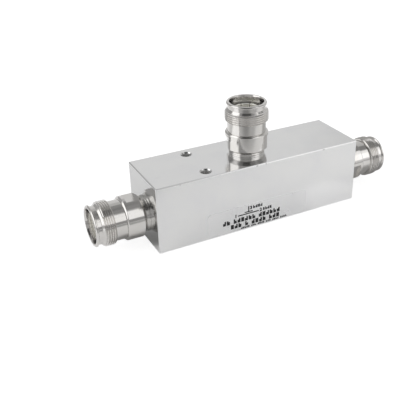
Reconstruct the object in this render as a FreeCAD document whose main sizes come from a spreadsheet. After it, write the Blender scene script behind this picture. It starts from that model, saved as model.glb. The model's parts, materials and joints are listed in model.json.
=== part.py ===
"""Coaxial power tapper: a through line in a machined bar, with one tapped port on top.

All sizes are in millimetres. The origin is the centre of the housing's bottom face, +X runs
from the input port to the output port, +Z points up through the tap port, and the rating
label is on the -Y face.
"""

import FreeCAD
import Part
import os
import Sketcher


DIMENSIONS = [
    ("housing_length", 104.2, "bar, end face to end face"),
    ("housing_width", 31.6, "bar, front to back"),
    ("housing_height", 31.6, "bar, bottom to top"),
    ("edge_break", 0.4, "chamfer on every outer edge of the bar"),
    ("axis_height", 13.1, "through line above the bottom face"),
    ("line_bore", 13, "cavity round the through line and the tap line"),
    ("seat_bore", 15, "tapped seat of each connector"),
    ("seat_depth", 7.5, "depth of a connector seat below its face"),
    ("seal_bore", 15.2, "plain mouth of the seat, where the ring seal runs"),
    ("seal_bore_depth", 2, "depth of that mouth"),
    ("hole_offset", -26.2, "mounting holes from the middle of the bar, along X"),
    ("hole_spacing", 20.4, "mounting hole to mounting hole, along Y"),
    ("hole_diameter", 4.5, "mounting hole, clearance for an M4 screw"),
    ("hole_chamfer", 0.5, "chamfer at both ends of a mounting hole"),

    ("protrusion", 24.6, "rim of a connector above its housing face"),
    ("rim_diameter", 18.5, "lip at the mouth of a connector"),
    ("rim_end", 0.9, "back of the lip, from the rim"),
    ("rim_edge", 0.4, "chamfer on the lip's outer edge"),
    ("relief_diameter", 17.1, "groove behind the lip"),
    ("relief_start", 1.2, "front of the groove, from the rim"),
    ("thread_diameter", 20, "M20 x 1 coupling thread"),
    ("thread_start", 2.85, "foot of the thread's front cone, from the rim"),
    ("thread_end", 8.7, "back of the thread, from the rim"),
    ("thread_runout", 0.4, "chamfer at the back of the thread"),
    ("barrel_diameter", 17.7, "plain barrel behind the thread"),
    ("flange_start", 13.8, "front of the flange disc, from the rim"),
    ("flange_end", 15.7, "back of the flange disc, from the rim"),
    ("wrench_diameter", 19.9, "flange disc and wrench section"),
    ("wrench_flats", 17.7, "across the two wrench flats"),
    ("wrench_end", 21.4, "back of the wrench section, from the rim"),
    ("wrench_edge", 0.6, "chamfer on the front edge of the flange disc"),
    ("taper_end", 22.8, "back of the taper behind the wrench section, from the rim"),
    ("neck_diameter", 16, "neck between the taper and the collar"),
    ("collar_diameter", 16.6, "collar that lands on the housing face"),
    ("collar_length", 0.9, "height of that collar"),
    ("shank_diameter", 14.95, "screwed shank in the seat, with its thread play"),
    ("shank_length", 7, "shank below the housing face"),
    ("seal_groove", 13.2, "bottom of the seal groove in the shank"),
    ("seal_groove_top", 0.4, "top of that groove below the housing face"),
    ("seal_groove_width", 1.2, "width of that groove"),
    ("mouth_diameter", 15, "bore of the mouth, round the basket"),
    ("mouth_lead", 0.45, "widening of the mouth's lead-in cone, per side"),
    ("mouth_lead_depth", 1.5, "depth of that cone"),
    ("mouth_depth", 9.5, "floor of the mouth, from the rim"),
    ("bore_diameter", 10, "outer conductor of the connector"),
    ("input_flat_turn", 5, "wrench flats of the input connector, degrees about its axis"),
    ("output_flat_turn", -68, "wrench flats of the output connector"),
    ("tap_flat_turn", -22, "wrench flats of the tap connector"),

    ("basket_diameter", 12, "spring basket, over its contact tips and its pressed root"),
    ("basket_front", 3.2, "tips of the basket, from the rim"),
    ("basket_end", 16, "root of the basket, from the rim"),
    ("finger_diameter", 11.4, "outside of the fingers behind their tips"),
    ("tip_length", 1.4, "thick tip of each finger"),
    ("tip_bevel", 0.3, "bevels of that tip"),
    ("finger_slot_width", 0.5, "slot between two fingers"),
    ("finger_slot_length", 5.6, "length of those slots"),
    ("finger_count", 8, "fingers of a basket"),

    ("insulator_diameter", 10.8, "insulator disc at the root of the basket"),
    ("insulator_length", 4, "thickness of that disc"),
    ("insulator_recess", 0.6, "depth of the ring recess in its front"),
    ("recess_inner", 4.8, "inner diameter of that recess"),
    ("recess_outer", 9.2, "outer diameter of that recess"),

    ("socket_diameter", 4.3, "centre socket, the inner conductor of the connector"),
    ("socket_front", 5.2, "front of the centre socket, from the rim"),
    ("socket_edge", 0.3, "bevels at the front of the socket"),
    ("socket_bore", 1.7, "hole for the mating pin"),
    ("socket_bore_depth", 5, "depth of that hole"),
    ("socket_slot_width", 0.3, "slots that make the socket springy"),
    ("socket_slot_length", 4.2, "length of those slots"),
    ("socket_slot_count", 4, "slots in a socket"),
    ("stud_diameter", 3.3, "stud of the socket, through the insulator"),
    ("screw_bore", 2.5, "tapped holes in the conductors"),
    ("screw_bore_depth", 4.5, "depth of the tapped hole at each conductor's end"),
    ("tail_diameter", 2.44, "screwed tail in such a hole, with its thread play"),
    ("tail_length", 4, "length of the socket's tail"),

    ("seal_thickness", 1, "height of the square-cut ring seal"),

    ("feed_reach", 44.5, "start of the stepped line, from the middle, either side"),
    ("feed_diameter", 5.6, "line at both ends of the cavity"),
    ("bead_reach", 40, "middle of each line bead, from the middle"),
    ("bead_width", 3, "thickness of a line bead"),
    ("bead_seat", 4.8, "groove in the line under a bead"),
    ("bead_hole", 2.4, "holes through a bead"),
    ("bead_hole_circle", 8.9, "circle of those holes"),
    ("bead_hole_count", 6, "holes in a bead"),
    ("bead_slit", 0.4, "slit that lets a bead snap over the line"),
    ("step_reach", 35, "outer end of the outer step"),
    ("inner_reach", 19.5, "outer end of the inner step"),
    ("junction_reach", 3.5, "half the length of the junction"),
    ("input_step", 6.2, "outer step of the input half"),
    ("input_inner", 6.8, "inner step of the input half"),
    ("output_step", 4.9, "outer step of the output half"),
    ("output_inner", 4.3, "inner step of the output half"),
    ("junction_diameter", 7.2, "junction in the middle of the line"),
    ("junction_flat", 3.2, "flat for the tap line, above the line's axis"),
    ("tap_screw_depth", 3, "tapped hole in that flat"),

    ("foot_diameter", 3.2, "foot of the tap line, on the junction flat"),
    ("foot_length", 1, "height of that foot"),
    ("tap_tail_length", 2.8, "screwed tail of the tap line"),
    ("tap_thin", 1.6, "thin high-impedance part of the tap line"),
    ("tap_step", 3, "step of the tap line"),
    ("tap_step_drop", 3, "top of that step below the housing's top face"),

    ("label_centre", -2.4, "middle of the rating label, along X"),
    ("label_length", 52.4, "rating label along X"),
    ("label_bottom", 0.6, "bottom of the label above the bottom face"),
    ("label_height", 12.2, "rating label along Z"),
    ("label_corner", 2.2, "corner radius of the label"),
    ("label_thickness", 0.1, "thickness of the label film"),
]

# Each port: turn of its axis about Y in degrees, then where its housing face is.
PORTS = {
    "input": (-90, "-Dims.housing_length / 2", "Dims.axis_height"),
    "output": (90, "Dims.housing_length / 2", "Dims.axis_height"),
    "tap": (0, "0", "Dims.housing_height"),
}

TOLERANCE = 1e-4


def fill_sheet(document):
    """Put the driving dimensions in a sheet, one named cell each."""
    sheet = document.addObject("Spreadsheet::Sheet", "Dims")
    for row, (name, value, meaning) in enumerate(DIMENSIONS, start=1):
        sheet.set("A%d" % row, name)
        sheet.set("B%d" % row, str(value))
        sheet.set("C%d" % row, meaning)
        sheet.setAlias("B%d" % row, name)
    document.recompute()


def half(name):
    """Half of a dimension, such as the radius of a diameter."""
    return "Dims.%s / 2" % name


def behind_rim(name):
    """Height above the housing face of a station that is measured back from the rim."""
    return "Dims.protrusion - Dims.%s" % name


def new_body(label):
    body = document.addObject("PartDesign::Body", label)
    body.Label = label
    return body


def origin_feature(body, role):
    """A plane or axis of the body's own origin, such as XY_Plane or Z_Axis."""
    return next(feature for feature in body.Origin.OriginFeatures if feature.Role == role)


def new_sketch(body, name, role, height=None, turn=None):
    """A sketch on one of the body's origin planes, moved along or turned about its normal."""
    sketch = body.newObject("Sketcher::SketchObject", name)
    sketch.AttachmentSupport = (origin_feature(body, role), [""])
    sketch.MapMode = "FlatFace"
    if height:
        sketch.setExpression("AttachmentOffset.Base.z", height)
    if turn:
        sketch.AttachmentOffset = FreeCAD.Placement(
            FreeCAD.Vector(), FreeCAD.Rotation(FreeCAD.Vector(0, 0, 1), 1))
        sketch.setExpression("AttachmentOffset.Rotation.Angle", turn)
    return sketch


def bind_coordinate(sketch, kind, geometry, point, start, formula):
    """Hold one coordinate of a sketch point at a formula; "0" puts it on the axis."""
    axis = -2 if kind == "DistanceX" else -1
    if formula == "0":
        sketch.addConstraint(Sketcher.Constraint("PointOnObject", geometry, point, axis))
        return
    index = sketch.addConstraint(Sketcher.Constraint(kind, -1, 1, geometry, point, start))
    sketch.setExpression("Constraints[%d]" % index, formula)


def add_outline(sketch, points):
    """A closed outline of straight lines through points given as pairs of formulas."""
    first = sketch.GeometryCount
    count = len(points)
    # Rough starting places, no three in line; the constraints then move the corners.
    starts = [FreeCAD.Vector(i + 1, i * i + 1, 0) for i in range(count)]
    for i in range(count):
        sketch.addGeometry(Part.LineSegment(starts[i], starts[(i + 1) % count]), False)
    for i in range(count):
        following = (i + 1) % count
        sketch.addConstraint(Sketcher.Constraint("Coincident", first + i, 2, first + following, 1))
    for i, (across, along) in enumerate(points):
        bind_coordinate(sketch, "DistanceX", first + i, 1, starts[i].x, across)
        bind_coordinate(sketch, "DistanceY", first + i, 1, starts[i].y, along)


def add_rectangle(sketch, left, bottom, right, top):
    add_outline(sketch, [(left, bottom), (right, bottom), (right, top), (left, top)])


def add_circle(sketch, across, along, radius):
    """A circle with its centre and radius given as formulas."""
    index = sketch.addGeometry(Part.Circle(FreeCAD.Vector(3, 2, 0), FreeCAD.Vector(0, 0, 1), 1), False)
    bind_coordinate(sketch, "DistanceX", index, 3, 3, across)
    bind_coordinate(sketch, "DistanceY", index, 3, 2, along)
    size = sketch.addConstraint(Sketcher.Constraint("Radius", index, 1))
    sketch.setExpression("Constraints[%d]" % size, radius)


def add_feature(body, kind, name, sketch):
    feature = body.newObject("PartDesign::" + kind, name)
    feature.Profile = sketch
    return feature


def finish_cut(body, feature, volume_before):
    """Recompute a cut and stop if it took nothing away."""
    document.recompute()
    if not feature.Shape.Volume < volume_before - TOLERANCE:
        raise RuntimeError("%s cuts nothing" % feature.Name)
    body.Tip = feature
    return feature


def revolve(body, sketch, axis="V_Axis"):
    feature = add_feature(body, "Revolution", sketch.Name + "_turned", sketch)
    feature.ReferenceAxis = (sketch, [axis])
    feature.Angle = 360
    document.recompute()
    return feature


def groove(body, sketch, axis):
    before = body.Shape.Volume
    feature = add_feature(body, "Groove", sketch.Name + "_bored", sketch)
    feature.ReferenceAxis = (sketch, [axis])
    feature.Angle = 360
    return finish_cut(body, feature, before)


def pad(body, sketch, length, side="One side"):
    feature = add_feature(body, "Pad", sketch.Name + "_pad", sketch)
    feature.SideType = side
    feature.setExpression("Length", length)
    document.recompute()
    return feature


def pocket(body, sketch, length=None, side="One side"):
    """Cut a sketch into the body to a length, or right through it with no length."""
    document.recompute()
    before = body.Shape.Volume
    feature = add_feature(body, "Pocket", sketch.Name + "_cut", sketch)
    feature.SideType = side
    if length:
        feature.setExpression("Length", length)
    else:
        feature.Type = "ThroughAll"
    return finish_cut(body, feature, before)


def polar_pattern(body, feature, count):
    """Repeat a cut round the body's Z axis."""
    before = body.Shape.Volume
    pattern = body.newObject("PartDesign::PolarPattern", feature.Name + "_ring")
    pattern.Originals = [feature]
    pattern.Axis = (origin_feature(body, "Z_Axis"), [""])
    pattern.Angle = 360
    pattern.setExpression("Occurrences", count)
    return finish_cut(body, pattern, before)


def edge_names(shape, wanted):
    """Names of the shape's edges that a test picks."""
    return ["Edge%d" % i for i, edge in enumerate(shape.Edges, start=1) if wanted(edge)]


def dress(body, kind, name, wanted, size):
    """Fillet or chamfer the edges that a test picks."""
    base = body.Tip
    feature = body.newObject("PartDesign::" + kind, name)
    feature.Base = (base, edge_names(base.Shape, wanted))
    feature.setExpression("Radius" if kind == "Fillet" else "Size", size)
    document.recompute()
    body.Tip = feature
    return feature


def is_circle(edge):
    return isinstance(edge.Curve, Part.Circle)


def runs_along_y(edge):
    """Whether a straight edge runs front to back."""
    ends = edge.Vertexes
    return len(ends) == 2 and abs(ends[0].Y - ends[1].Y) > 0.9 * edge.Length


def stand_on_port(body, port):
    """Put a piece, drawn with its axis up from the housing face, on its port."""
    turn, along, height = PORTS[port]
    body.Placement = FreeCAD.Placement(FreeCAD.Vector(), FreeCAD.Rotation(FreeCAD.Vector(0, 1, 0), turn))
    if along != "0":
        body.setExpression("Placement.Base.x", along)
    body.setExpression("Placement.Base.z", height)


def make_housing():
    """Square bar, drawn about the point where the bores of its two lines cross."""
    body = new_body("housing")

    section = new_sketch(body, "bar_section", "YZ_Plane")
    add_rectangle(section, "-Dims.housing_width / 2", "-Dims.axis_height",
                  half("housing_width"), "Dims.housing_height - Dims.axis_height")
    pad(body, section, "Dims.housing_length", side="Symmetric")
    dress(body, "Chamfer", "edge_breaks", lambda edge: True, "Dims.edge_break")

    through_line = new_sketch(body, "through_line", "XZ_Plane")
    seat_floor = "Dims.housing_length / 2 - Dims.seat_depth"
    seal_floor = "Dims.housing_length / 2 - Dims.seal_bore_depth"
    face = half("housing_length")
    add_outline(through_line, [
        ("-(%s)" % face, "0"),
        ("-(%s)" % face, half("seal_bore")),
        ("-(%s)" % seal_floor, half("seal_bore")),
        ("-(%s)" % seal_floor, half("seat_bore")),
        ("-(%s)" % seat_floor, half("seat_bore")),
        ("-(%s)" % seat_floor, half("line_bore")),
        (seat_floor, half("line_bore")),
        (seat_floor, half("seat_bore")),
        (seal_floor, half("seat_bore")),
        (seal_floor, half("seal_bore")),
        (face, half("seal_bore")),
        (face, "0"),
    ])
    groove(body, through_line, "H_Axis")

    tap_line = new_sketch(body, "tap_line", "XZ_Plane")
    top = "Dims.housing_height - Dims.axis_height"
    add_outline(tap_line, [
        ("0", "0"),
        (half("line_bore"), "0"),
        (half("line_bore"), "%s - Dims.seat_depth" % top),
        (half("seat_bore"), "%s - Dims.seat_depth" % top),
        (half("seat_bore"), "%s - Dims.seal_bore_depth" % top),
        (half("seal_bore"), "%s - Dims.seal_bore_depth" % top),
        (half("seal_bore"), top),
        ("0", top),
    ])
    groove(body, tap_line, "V_Axis")

    holes = new_sketch(body, "mounting_holes", "XY_Plane")
    for side in ("-", ""):
        add_circle(holes, "Dims.hole_offset", side + "Dims.hole_spacing / 2", half("hole_diameter"))
    pocket(body, holes, side="Symmetric")
    hole_radius = document.Dims.hole_diameter / 2

    def is_hole_end(edge):
        return is_circle(edge) and abs(edge.Curve.Radius - hole_radius) < TOLERANCE

    dress(body, "Chamfer", "hole_chamfers", is_hole_end, "Dims.hole_chamfer")

    body.setExpression("Placement.Base.z", "Dims.axis_height")


def make_connector_shell(port):
    """Turned shell of one connector: thread, barrel, wrench section and screwed shank."""
    body = new_body(port + "_connector_shell")
    profile = new_sketch(body, port + "_shell_profile", "XZ_Plane")
    seal_bottom = "-Dims.seal_groove_top - Dims.seal_groove_width"
    # The thread's front cone rises at 45 degrees out of the groove.
    cone_height = "(Dims.thread_diameter - Dims.relief_diameter) / 2"
    add_outline(profile, [
        (half("bore_diameter"), "-Dims.shank_length"),
        (half("shank_diameter"), "-Dims.shank_length"),
        (half("shank_diameter"), seal_bottom),
        (half("seal_groove"), seal_bottom),
        (half("seal_groove"), "-Dims.seal_groove_top"),
        (half("shank_diameter"), "-Dims.seal_groove_top"),
        (half("shank_diameter"), "0"),
        (half("collar_diameter"), "0"),
        (half("collar_diameter"), "Dims.collar_length"),
        (half("neck_diameter"), "Dims.collar_length"),
        (half("neck_diameter"), behind_rim("taper_end")),
        (half("collar_diameter"), behind_rim("taper_end")),
        (half("wrench_diameter"), behind_rim("wrench_end")),
        (half("wrench_diameter"), behind_rim("flange_start") + " - Dims.wrench_edge"),
        (half("wrench_diameter") + " - Dims.wrench_edge", behind_rim("flange_start")),
        (half("barrel_diameter"), behind_rim("flange_start")),
        (half("barrel_diameter"), behind_rim("thread_end")),
        (half("thread_diameter") + " - Dims.thread_runout", behind_rim("thread_end")),
        (half("thread_diameter"), behind_rim("thread_end") + " + Dims.thread_runout"),
        (half("thread_diameter"), behind_rim("thread_start") + " - " + cone_height),
        (half("relief_diameter"), behind_rim("thread_start")),
        (half("relief_diameter"), behind_rim("relief_start")),
        (half("rim_diameter"), behind_rim("rim_end")),
        (half("rim_diameter"), behind_rim("rim_edge")),
        (half("rim_diameter") + " - Dims.rim_edge", "Dims.protrusion"),
        (half("mouth_diameter") + " + Dims.mouth_lead", "Dims.protrusion"),
        (half("mouth_diameter"), behind_rim("mouth_lead_depth")),
        (half("mouth_diameter"), behind_rim("mouth_depth")),
        (half("basket_diameter"), behind_rim("mouth_depth")),
        (half("basket_diameter"), behind_rim("basket_end")),
        (half("bore_diameter"), behind_rim("basket_end")),
    ])
    revolve(body, profile)

    flats = new_sketch(body, port + "_wrench_flats", "XY_Plane",
                       height=behind_rim("flange_end"), turn="Dims.%s_flat_turn" % port)
    for side in ("-", ""):
        near = side + "Dims.wrench_flats / 2"
        far = side + "Dims.wrench_diameter"
        add_rectangle(flats, near, "-Dims.wrench_diameter", far, "Dims.wrench_diameter")
    pocket(body, flats, length="Dims.taper_end - Dims.flange_end")

    stand_on_port(body, port)


def make_contact_basket(port):
    """Spring basket: the slotted outer contact, pressed into the shell."""
    body = new_body(port + "_contact_basket")
    profile = new_sketch(body, port + "_basket_profile", "XZ_Plane")
    tip_back = behind_rim("basket_front") + " - Dims.tip_length"
    add_outline(profile, [
        (half("insulator_diameter"), behind_rim("basket_end")),
        (half("basket_diameter"), behind_rim("basket_end")),
        (half("basket_diameter"), behind_rim("mouth_depth")),
        (half("finger_diameter"), behind_rim("mouth_depth")),
        (half("finger_diameter"), tip_back),
        (half("basket_diameter"), tip_back + " + Dims.tip_bevel"),
        (half("basket_diameter"), behind_rim("basket_front") + " - Dims.tip_bevel"),
        (half("basket_diameter") + " - Dims.tip_bevel", behind_rim("basket_front")),
        (half("bore_diameter") + " + Dims.tip_bevel", behind_rim("basket_front")),
        (half("bore_diameter"), behind_rim("basket_front") + " - Dims.tip_bevel"),
        (half("bore_diameter"), behind_rim("basket_end") + " + Dims.insulator_length"),
        (half("insulator_diameter"), behind_rim("basket_end") + " + Dims.insulator_length"),
    ])
    revolve(body, profile)

    slot = new_sketch(body, port + "_basket_slot", "XZ_Plane")
    add_rectangle(slot, "-Dims.finger_slot_width / 2",
                  behind_rim("basket_front") + " - Dims.finger_slot_length",
                  half("finger_slot_width"), "Dims.protrusion")
    first_slot = pocket(body, slot)
    polar_pattern(body, first_slot, "Dims.finger_count")

    stand_on_port(body, port)


def make_insulator(port):
    """Disc that holds the centre socket in the root of the basket."""
    body = new_body(port + "_insulator")
    profile = new_sketch(body, port + "_insulator_profile", "XZ_Plane")
    back = behind_rim("basket_end")
    front = back + " + Dims.insulator_length"
    add_outline(profile, [
        (half("stud_diameter"), back),
        (half("insulator_diameter"), back),
        (half("insulator_diameter"), front),
        (half("recess_outer"), front),
        (half("recess_outer"), front + " - Dims.insulator_recess"),
        (half("recess_inner"), front + " - Dims.insulator_recess"),
        (half("recess_inner"), front),
        (half("stud_diameter"), front),
    ])
    revolve(body, profile)
    stand_on_port(body, port)


def make_centre_socket(port):
    """Slotted centre socket, with a stud through the insulator and a screwed tail."""
    body = new_body(port + "_centre_socket")
    profile = new_sketch(body, port + "_socket_profile", "XZ_Plane")
    front = behind_rim("socket_front")
    shoulder = behind_rim("basket_end") + " + Dims.insulator_length"
    stud_end = behind_rim("basket_end")
    add_outline(profile, [
        ("0", stud_end + " - Dims.tail_length"),
        (half("tail_diameter"), stud_end + " - Dims.tail_length"),
        (half("tail_diameter"), stud_end),
        (half("stud_diameter"), stud_end),
        (half("stud_diameter"), shoulder),
        (half("socket_diameter"), shoulder),
        (half("socket_diameter"), front + " - Dims.socket_edge"),
        (half("socket_diameter") + " - Dims.socket_edge", front),
        (half("socket_bore") + " + Dims.socket_edge", front),
        (half("socket_bore"), front + " - Dims.socket_edge"),
        (half("socket_bore"), front + " - Dims.socket_bore_depth"),
        # The drill leaves a cone a quarter of the bore deep.
        ("0", front + " - Dims.socket_bore_depth - Dims.socket_bore / 4"),
    ])
    revolve(body, profile)

    slot = new_sketch(body, port + "_socket_slot", "XZ_Plane")
    add_rectangle(slot, "-Dims.socket_slot_width / 2", front + " - Dims.socket_slot_length",
                  half("socket_slot_width"), "Dims.protrusion")
    first_slot = pocket(body, slot)
    polar_pattern(body, first_slot, "Dims.socket_slot_count")

    stand_on_port(body, port)


def make_neck_seal(port):
    """Square-cut ring seal in the groove of the shank, against the plain mouth of the seat."""
    body = new_body(port + "_neck_seal")
    section = new_sketch(body, port + "_seal_section", "XZ_Plane")
    middle = "-Dims.seal_groove_top - Dims.seal_groove_width / 2"
    add_rectangle(section, half("seal_groove"), middle + " - Dims.seal_thickness / 2",
                  half("seal_bore"), middle + " + Dims.seal_thickness / 2")
    revolve(body, section)
    stand_on_port(body, port)


def make_main_line_conductor():
    """Stepped rod from the input to the output, with the junction for the tap line."""
    body = new_body("main_line_conductor")
    end = "Dims.housing_length / 2 + Dims.protrusion - Dims.basket_end"
    bead_inner = "Dims.bead_reach - Dims.bead_width / 2"
    bead_outer = "Dims.bead_reach + Dims.bead_width / 2"

    def half_profile(sign, step, inner):
        """Corners from the end hole of one half of the rod to the junction."""
        stations = [
            ("%s - Dims.screw_bore_depth" % end, "0", "screw_bore"),
            (end, "screw_bore", "socket_diameter"),
            ("Dims.feed_reach", "socket_diameter", "feed_diameter"),
            (bead_outer, "feed_diameter", "bead_seat"),
            (bead_inner, "bead_seat", "feed_diameter"),
            ("Dims.step_reach", "feed_diameter", step),
            ("Dims.inner_reach", step, inner),
            ("Dims.junction_reach", inner, "junction_diameter"),
        ]
        corners = []
        for reach, outward, inward in stations:
            for name in (outward, inward):
                corners.append(("%s(%s)" % (sign, reach), "0" if name == "0" else half(name)))
        return corners

    profile = new_sketch(body, "main_line_profile", "XZ_Plane")
    input_half = half_profile("-", "input_step", "input_inner")
    output_half = half_profile("", "output_step", "output_inner")
    add_outline(profile, input_half + output_half[::-1])
    revolve(body, profile, "H_Axis")

    flat = new_sketch(body, "junction_flat", "XZ_Plane")
    add_rectangle(flat, "-Dims.junction_reach", "Dims.junction_flat",
                  "Dims.junction_reach", "Dims.junction_diameter")
    pocket(body, flat, side="Symmetric")

    tap_screw = new_sketch(body, "tap_screw_hole", "XY_Plane", height="Dims.junction_flat")
    add_circle(tap_screw, "0", "0", half("screw_bore"))
    pocket(body, tap_screw, length="Dims.tap_screw_depth")

    body.setExpression("Placement.Base.z", "Dims.axis_height")


def make_tap_line_conductor():
    """Stepped rod from the junction up into the tap connector."""
    body = new_body("tap_line_conductor")
    profile = new_sketch(body, "tap_line_profile", "XZ_Plane")
    foot = "Dims.axis_height + Dims.junction_flat - Dims.housing_height"
    end = behind_rim("basket_end")
    add_outline(profile, [
        ("0", foot + " - Dims.tap_tail_length"),
        (half("tail_diameter"), foot + " - Dims.tap_tail_length"),
        (half("tail_diameter"), foot),
        (half("foot_diameter"), foot),
        (half("foot_diameter"), foot + " + Dims.foot_length"),
        (half("tap_thin"), foot + " + Dims.foot_length"),
        (half("tap_thin"), "-Dims.shank_length"),
        (half("tap_step"), "-Dims.shank_length"),
        (half("tap_step"), "-Dims.tap_step_drop"),
        (half("socket_diameter"), "-Dims.tap_step_drop"),
        (half("socket_diameter"), end),
        (half("screw_bore"), end),
        (half("screw_bore"), end + " - Dims.screw_bore_depth"),
        ("0", end + " - Dims.screw_bore_depth"),
    ])
    revolve(body, profile)
    stand_on_port(body, "tap")


def make_line_bead(port):
    """Drilled and slit disc that centres the main line in its bore."""
    body = new_body(port + "_line_bead")
    profile = new_sketch(body, port + "_bead_profile", "XZ_Plane")
    add_rectangle(profile, half("bead_seat"), "-Dims.bead_width / 2",
                  half("line_bore"), half("bead_width"))
    revolve(body, profile)

    hole = new_sketch(body, port + "_bead_hole", "XY_Plane")
    add_circle(hole, half("bead_hole_circle"), "0", half("bead_hole"))
    first_hole = pocket(body, hole, side="Symmetric")
    polar_pattern(body, first_hole, "Dims.bead_hole_count")

    slit = new_sketch(body, port + "_bead_slit", "XZ_Plane")
    add_rectangle(slit, "-Dims.bead_slit / 2", "-Dims.bead_width",
                  half("bead_slit"), "Dims.bead_width")
    pocket(body, slit)

    turn, _, height = PORTS[port]
    body.Placement = FreeCAD.Placement(FreeCAD.Vector(), FreeCAD.Rotation(FreeCAD.Vector(0, 1, 0), turn))
    body.setExpression("Placement.Base.x", "-Dims.bead_reach" if port == "input" else "Dims.bead_reach")
    body.setExpression("Placement.Base.z", height)


def make_rating_label():
    """Thin film with round corners, low on the front face."""
    body = new_body("rating_label")
    outline = new_sketch(body, "label_outline", "XZ_Plane")
    add_rectangle(outline, "Dims.label_centre - Dims.label_length / 2", "Dims.label_bottom",
                  "Dims.label_centre + Dims.label_length / 2",
                  "Dims.label_bottom + Dims.label_height")
    pad(body, outline, "Dims.label_thickness")
    dress(body, "Fillet", "label_corners", runs_along_y, "Dims.label_corner")
    body.setExpression("Placement.Base.y", "-Dims.housing_width / 2")


def check_document():
    """Stop on any failed object, and on any piece that is not one sound solid."""
    for item in document.Objects:
        if "Invalid" in item.State or "Error" in item.State:
            raise RuntimeError("%s is %s" % (item.Name, item.State))
    for body in pieces():
        shape = body.Shape
        if shape.isNull() or not shape.isValid() or len(shape.Solids) != 1:
            raise RuntimeError("%s is not one sound solid" % body.Label)


def pieces():
    return [item for item in document.Objects if item.TypeId == "PartDesign::Body"]


document = FreeCAD.newDocument("power_tapper")
fill_sheet(document)

make_housing()
for port in PORTS:
    make_connector_shell(port)
    make_contact_basket(port)
    make_insulator(port)
    make_centre_socket(port)
    make_neck_seal(port)
make_main_line_conductor()
make_tap_line_conductor()
for port in ("input", "output"):
    make_line_bead(port)
make_rating_label()

document.recompute()
check_document()

os.makedirs("parts", exist_ok=True)
for piece in pieces():
    piece.Shape.exportStep("parts/%s.step" % piece.Label)
    print("%-24s %10.2f mm3" % (piece.Label, piece.Shape.Volume))
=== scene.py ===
"""Looks of a coaxial power tapper: a bright square bar with a port on each end and one on top.

The script follows the tapper as it is put together: bar, port shells, contacts, insulators, lines
and label, and then the table, the light tent and the camera. Lengths are in metres, written as a
number of millimetres times mm.
"""
import json
import math

import bpy
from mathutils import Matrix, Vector


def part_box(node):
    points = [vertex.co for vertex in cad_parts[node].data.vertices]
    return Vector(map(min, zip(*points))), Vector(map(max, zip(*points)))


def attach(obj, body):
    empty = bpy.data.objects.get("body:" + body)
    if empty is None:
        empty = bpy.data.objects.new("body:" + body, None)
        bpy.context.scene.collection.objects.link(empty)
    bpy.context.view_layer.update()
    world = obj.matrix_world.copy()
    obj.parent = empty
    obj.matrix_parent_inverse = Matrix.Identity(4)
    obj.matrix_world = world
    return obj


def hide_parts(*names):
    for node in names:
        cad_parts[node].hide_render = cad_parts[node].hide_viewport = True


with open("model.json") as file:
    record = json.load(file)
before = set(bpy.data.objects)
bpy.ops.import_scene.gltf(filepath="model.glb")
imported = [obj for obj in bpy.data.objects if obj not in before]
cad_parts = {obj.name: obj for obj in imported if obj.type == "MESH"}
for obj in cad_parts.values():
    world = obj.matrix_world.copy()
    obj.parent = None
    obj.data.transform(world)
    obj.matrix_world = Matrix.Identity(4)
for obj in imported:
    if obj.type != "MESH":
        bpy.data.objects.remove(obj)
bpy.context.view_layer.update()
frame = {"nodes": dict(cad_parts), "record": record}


# The bar is one piece of square aluminium, milled all over and dipped bright. Its line bores end
# in wider seats for the ports, and two drilled screw holes pass right down beside the tap. Its
# edges are broken, and the top front edge has a few small knocks.
mm = 0.001
bar_low, bar_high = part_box("housing")
line_low, line_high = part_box("input_connector_shell")
line_height = (line_low.z + line_high.z) / 2

edge_break = 0.4 * mm
line_bore_radius = 6.5 * mm
seat_radius = 7.5 * mm
seat_depth = 7.5 * mm
seal_radius = 7.6 * mm
seal_depth = 2 * mm
overshoot = 1 * mm
fine_round = 0.06 * mm

hole_mount = next(m for m in frame["record"]["mounts"] if m["name"] == "mounting_holes")
hole_x = hole_mount["pos_m"][0]
hole_y = hole_mount["dims"]["spacing_y_mm"] / 2 * mm
hole_places = [Vector((hole_x, side * hole_y)) for side in (-1, 1)]
hole_radius = hole_mount["dims"]["hole_r_mm"] * mm
hole_chamfer = 0.5 * mm

# Knocks on the top front edge: place along the bar, and radius. Each is drawn out along the edge.
edge_knocks = [
    (-41 * mm, 0.35 * mm),
    (-3.4 * mm, 0.42 * mm),
    (1.2 * mm, 0.3 * mm),
    (32.6 * mm, 0.4 * mm),
]
knock_stretch = (1.3, 0.8, 0.7)

# Where each port stands: the turn of its axis about Y, and the middle of its seat on the bar.
port_seats = {
    "input": (-90, Vector((bar_low.x, 0, line_height))),
    "output": (90, Vector((bar_high.x, 0, line_height))),
    "tap": (0, Vector((0, 0, bar_high.z))),
}


def only(piece):
    """Make a piece the only one selected, and the active one."""
    bpy.ops.object.select_all(action="DESELECT")
    piece.select_set(True)
    bpy.context.view_layer.objects.active = piece


def settle(piece):
    """Put a piece's place into its mesh, so that its object is at the origin, unturned."""
    only(piece)
    bpy.ops.object.transform_apply(location=True, rotation=True, scale=True)
    return piece


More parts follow.
